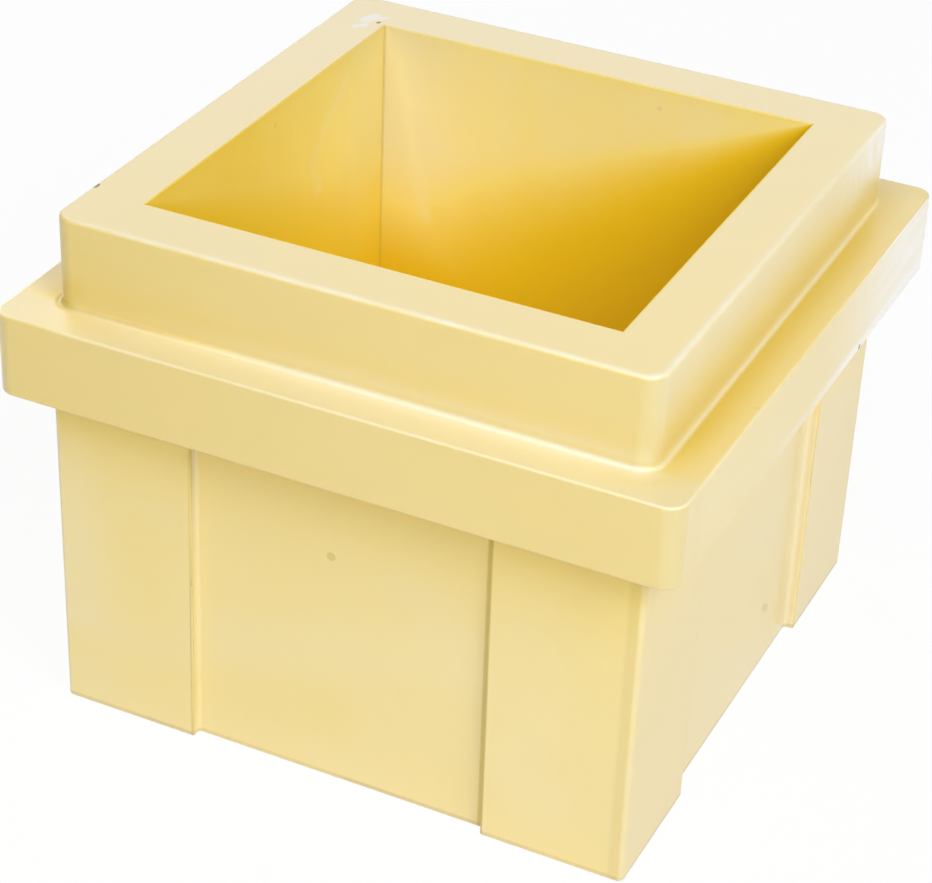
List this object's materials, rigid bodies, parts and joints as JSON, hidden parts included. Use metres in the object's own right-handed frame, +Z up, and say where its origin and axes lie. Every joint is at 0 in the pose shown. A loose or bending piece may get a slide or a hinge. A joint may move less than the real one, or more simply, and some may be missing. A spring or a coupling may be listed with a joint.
{
  "type": "concrete cube mould",
  "caption": "Thick-walled one-piece plastic mould for casting concrete test cubes, with a stepped rim, a lifting collar and a plugged air-ejection hole in its floor.",
  "frame": {"origin": "centre of the base, on the surface that the mould stands on", "axes": "+Z up out of the cavity mouth, X and Y square to the cavity walls"},
  "size_m": [0.216, 0.216, 0.17],
  "materials": {
    "mould": "satin cast polyurethane, pale yellow",
    "plug": "satin moulded polyethylene, natural white"
  },
  "bodies": {
    "mould": {"mould_body": "mould"},
    "plug": {"ejection_plug": "plug"}
  },
  "joints": [
    {"name": "plug_lift", "type": "slide", "parent": "mould", "child": "plug", "axis": [0, 0, 1], "range_m": [0, 0.17]}
  ]
}
